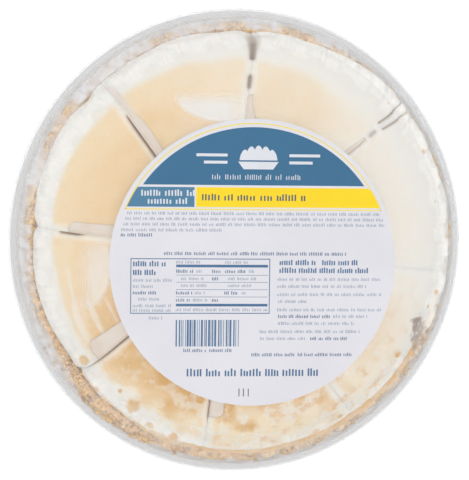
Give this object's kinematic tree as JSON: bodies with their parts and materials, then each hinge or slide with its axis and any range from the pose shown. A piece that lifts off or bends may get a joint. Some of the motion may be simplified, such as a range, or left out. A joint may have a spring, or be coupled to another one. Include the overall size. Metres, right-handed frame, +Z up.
{
  "type": "lemon meringue pie",
  "caption": "Round lemon meringue pie, cut into wedges with paper dividers, in a foil pan under a clear fluted dome with a round label.",
  "frame": {"origin": "centre of the pan's flat base, on the surface it stands on", "axes": "+Z up through the pack, +X to the right and +Y to the far side as the label's blue cap is at the far side"},
  "size_m": [0.2526, 0.2578, 0.0754],
  "materials": {
    "foil": "bright pressed foil",
    "crumb_crust": "dry baked crumbs",
    "meringue": "soft, white at the side and toasted tan on top",
    "divider_paper": "matte uncoated paper",
    "clear_plastic": "clear thermoformed sheet",
    "label_paper": "smooth printed label with plain blue and yellow fields"
  },
  "bodies": {
    "root": {"pan": "foil", "crust_1": "crumb_crust", "meringue_1": "meringue", "divider_1": "divider_paper", "crust_2": "crumb_crust", "meringue_2": "meringue", "divider_2": "divider_paper", "crust_3": "crumb_crust", "meringue_3": "meringue", "divider_3": "divider_paper", "crust_4": "crumb_crust", "meringue_4": "meringue", "divider_4": "divider_paper", "crust_5": "crumb_crust", "meringue_5": "meringue", "divider_5": "divider_paper", "crust_6": "crumb_crust", "meringue_6": "meringue", "divider_6": "divider_paper", "crust_7": "crumb_crust", "meringue_7": "meringue", "divider_7": "divider_paper", "crust_8": "crumb_crust", "meringue_8": "meringue", "divider_8": "divider_paper", "dome": "clear_plastic", "label": "label_paper"}
  },
  "joints": []
}
